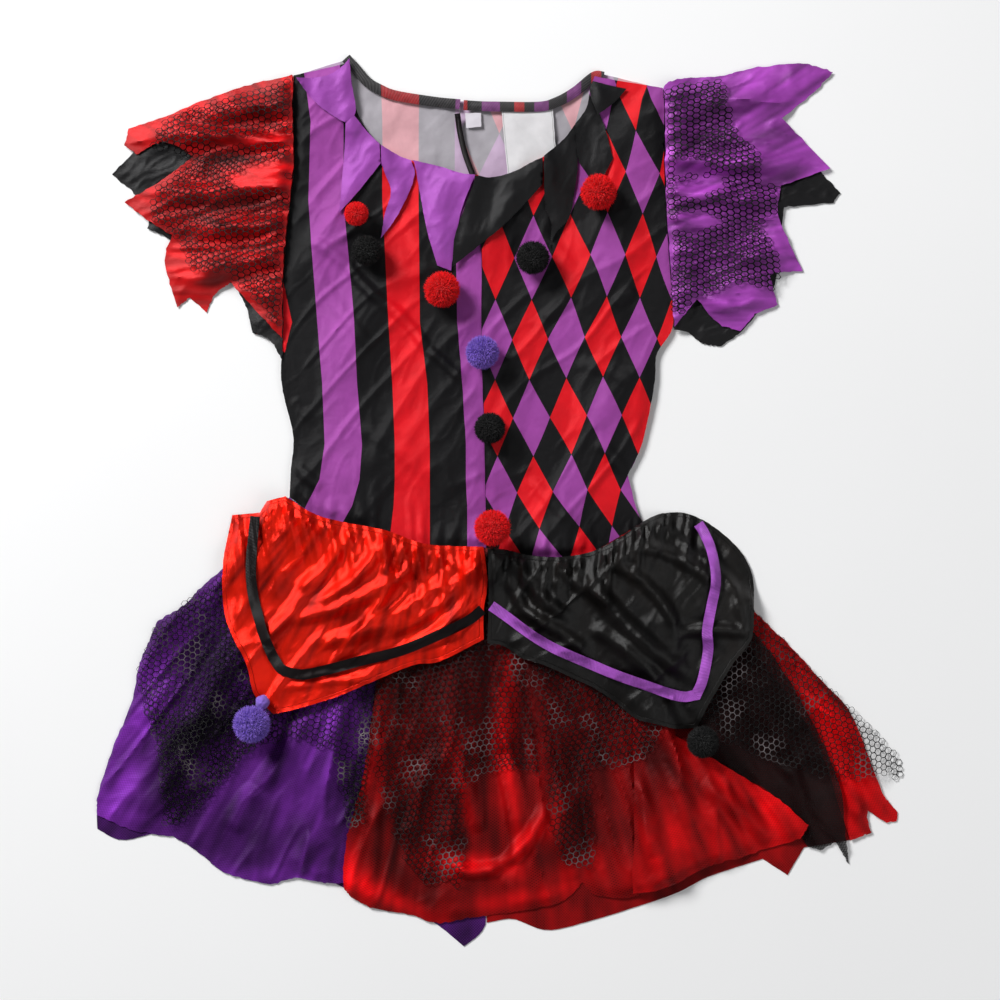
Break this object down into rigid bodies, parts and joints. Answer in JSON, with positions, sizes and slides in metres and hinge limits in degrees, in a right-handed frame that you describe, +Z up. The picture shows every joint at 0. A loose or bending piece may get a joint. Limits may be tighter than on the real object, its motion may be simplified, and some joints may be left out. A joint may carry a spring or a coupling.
{
  "type": "jester costume",
  "caption": "Child's short-sleeved jester dress laid flat: striped and diamond bodice, pointed collar, satin flaps, layered net skirt and pompoms.",
  "frame": {"origin": "centre of the dress's outline, on the surface that it lies on", "axes": "+X to the right of the dress as seen from above, +Y from the hem to the collar, +Z up"},
  "size_m": [0.645, 0.7127, 0.0426],
  "materials": {
    "print_knit_stripes": "printed polyester knit, soft sheen",
    "print_knit_diamonds": "printed polyester knit, soft sheen",
    "print_inside": "wrong side of the printed knit, matt",
    "red_satin": "shiny polyester satin",
    "black_satin": "shiny polyester satin",
    "red_organza": "sheer crisp organza",
    "purple_organza": "sheer crisp organza",
    "black_organza": "sheer crisp organza",
    "red_knit": "thin shiny knit",
    "purple_knit": "thin shiny knit",
    "black_net": "open hexagonal net",
    "black_ribbon": "satin ribbon",
    "purple_ribbon": "satin ribbon",
    "red_yarn": "fluffy yarn",
    "black_yarn": "fluffy yarn",
    "violet_yarn": "fluffy yarn",
    "white_label": "woven label tape"
  },
  "bodies": {
    "root": {"bodice_back_left": "print_inside", "bodice_back_right": "print_inside", "bodice_front_left": "print_knit_stripes", "bodice_front_right": "print_knit_diamonds", "care_label": "white_label", "closure_tab": "print_inside", "collar_black_1": "black_satin", "collar_black_2": "black_satin", "collar_black_3": "black_satin", "collar_black_4": "black_satin", "collar_purple_1": "purple_knit", "collar_purple_2": "purple_knit", "collar_purple_3": "purple_knit", "collar_purple_4": "purple_knit", "neck_hem_left": "black_ribbon", "neck_hem_right": "black_ribbon", "peplum_black": "black_satin", "peplum_red": "red_satin", "pompom_black_front": "black_yarn", "pompom_black_hem": "black_yarn", "pompom_black_left": "black_yarn", "pompom_black_right": "black_yarn", "pompom_red_front": "red_yarn", "pompom_red_left": "red_yarn", "pompom_red_right": "red_yarn", "pompom_red_tuft": "red_yarn", "pompom_violet_front": "violet_yarn", "pompom_violet_hem": "violet_yarn", "ribbon_black": "black_ribbon", "ribbon_purple": "purple_ribbon", "skirt_back_left": "purple_organza", "skirt_back_right": "red_organza", "skirt_front_purple": "purple_organza", "skirt_front_red": "red_organza", "skirt_net_left": "black_net", "skirt_net_middle": "black_net", "skirt_net_right": "black_net", "skirt_net_side": "black_net", "skirt_petal_black": "black_organza", "skirt_petal_bright": "red_organza", "skirt_petal_red": "red_organza", "sleeve_left_back": "red_knit", "sleeve_left_net": "black_net", "sleeve_left_points": "black_organza", "sleeve_left_shell": "red_knit", "sleeve_right_back": "purple_knit", "sleeve_right_net": "black_net", "sleeve_right_points": "black_organza", "sleeve_right_shell": "purple_knit", "slit_edge": "black_ribbon"}
  },
  "joints": []
}
